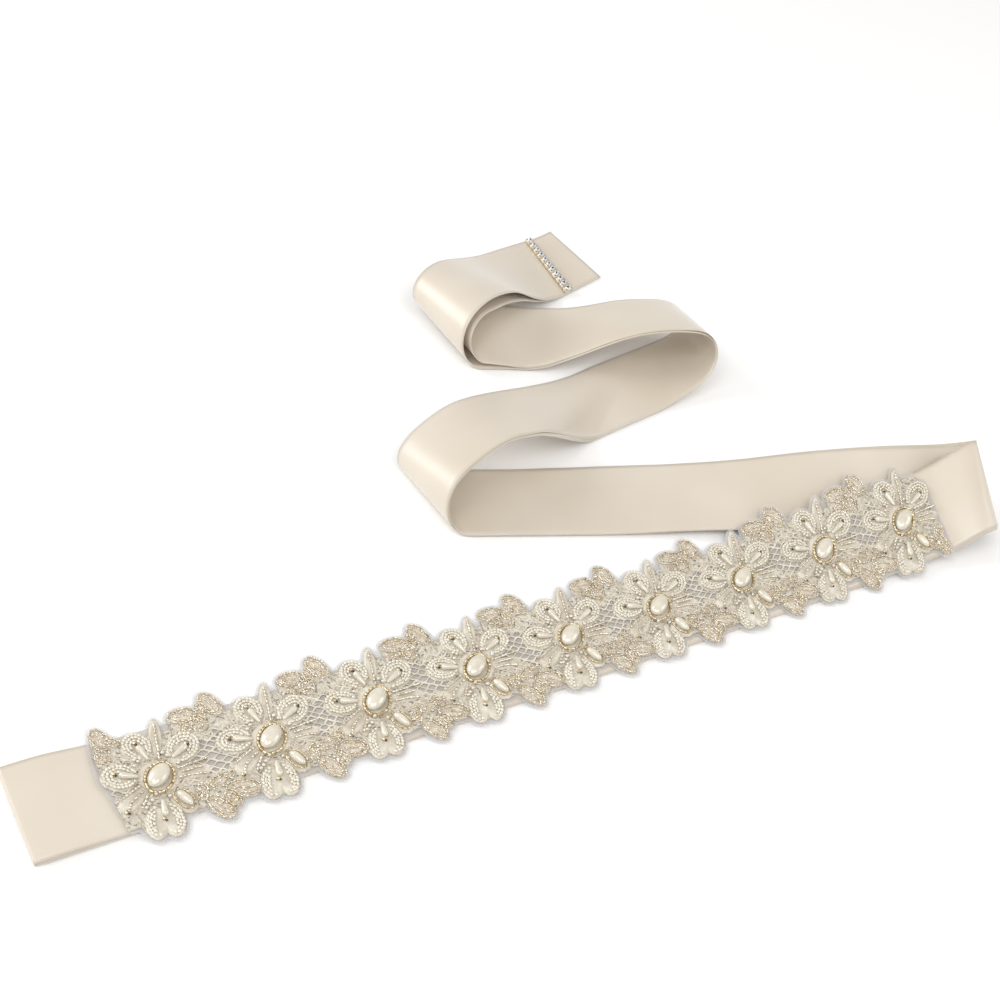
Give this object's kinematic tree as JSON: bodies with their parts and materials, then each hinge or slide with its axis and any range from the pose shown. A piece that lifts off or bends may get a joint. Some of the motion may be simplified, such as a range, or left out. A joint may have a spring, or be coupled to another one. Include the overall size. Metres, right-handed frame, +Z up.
{
  "type": "bridal sash",
  "caption": "Ivory satin bridal sash laid in loose folds, with a beaded pearl and lace motif trim along its front and a rhinestone chain at its end.",
  "frame": {"origin": "middle of the outline seen from above, on the surface the sash lies on", "axes": "+Z up from the surface; +X to the right and +Y away, as the picture shows the sash"},
  "size_m": [0.4658, 0.5448, 0.0403],
  "materials": {
    "satin": "ivory double-faced satin ribbon",
    "organza": "sheer organza with a corded net on it",
    "lace": "embroidered lace flower with pearl drops",
    "leaf_beads": "leaf spray of lace edged with small beads",
    "pearl": "pearl lustre",
    "cup_chain": "pale gold cups holding clear stones"
  },
  "bodies": {
    "root": {"ribbon_upper_front": "satin", "ribbon_upper_right_loop": "satin", "ribbon_upper_far": "satin", "ribbon_upper_left_loop": "satin", "ribbon_upper_middle": "satin", "ribbon_upper_right_turn": "satin", "ribbon_upper_back": "satin", "ribbon_upper_top_loop": "satin", "ribbon_upper_tail": "satin", "ribbon_under_front": "satin", "ribbon_under_right_loop": "satin", "ribbon_under_far": "satin", "ribbon_under_left_loop": "satin", "ribbon_under_middle": "satin", "ribbon_under_right_turn": "satin", "ribbon_under_back": "satin", "ribbon_under_top_loop": "satin", "ribbon_under_tail": "satin", "ribbon_fold": "satin", "trim_backing": "organza", "flower_1": "lace", "flower_2": "lace", "flower_3": "lace", "flower_4": "lace", "flower_5": "lace", "flower_6": "lace", "flower_7": "lace", "flower_8": "lace", "flower_9": "lace", "spray_upper_1": "leaf_beads", "spray_lower_1": "leaf_beads", "spray_upper_2": "leaf_beads", "spray_lower_2": "leaf_beads", "spray_upper_3": "leaf_beads", "spray_lower_3": "leaf_beads", "spray_upper_4": "leaf_beads", "spray_lower_4": "leaf_beads", "spray_upper_5": "leaf_beads", "spray_lower_5": "leaf_beads", "spray_upper_6": "leaf_beads", "spray_lower_6": "leaf_beads", "spray_upper_7": "leaf_beads", "spray_lower_7": "leaf_beads", "spray_upper_8": "leaf_beads", "spray_lower_8": "leaf_beads", "spray_left_end": "leaf_beads", "spray_right_end": "leaf_beads", "pearl_1": "pearl", "pearl_2": "pearl", "pearl_3": "pearl", "pearl_4": "pearl", "pearl_5": "pearl", "pearl_6": "pearl", "pearl_7": "pearl", "pearl_8": "pearl", "pearl_9": "pearl", "cup_chain": "cup_chain"}
  },
  "joints": []
}
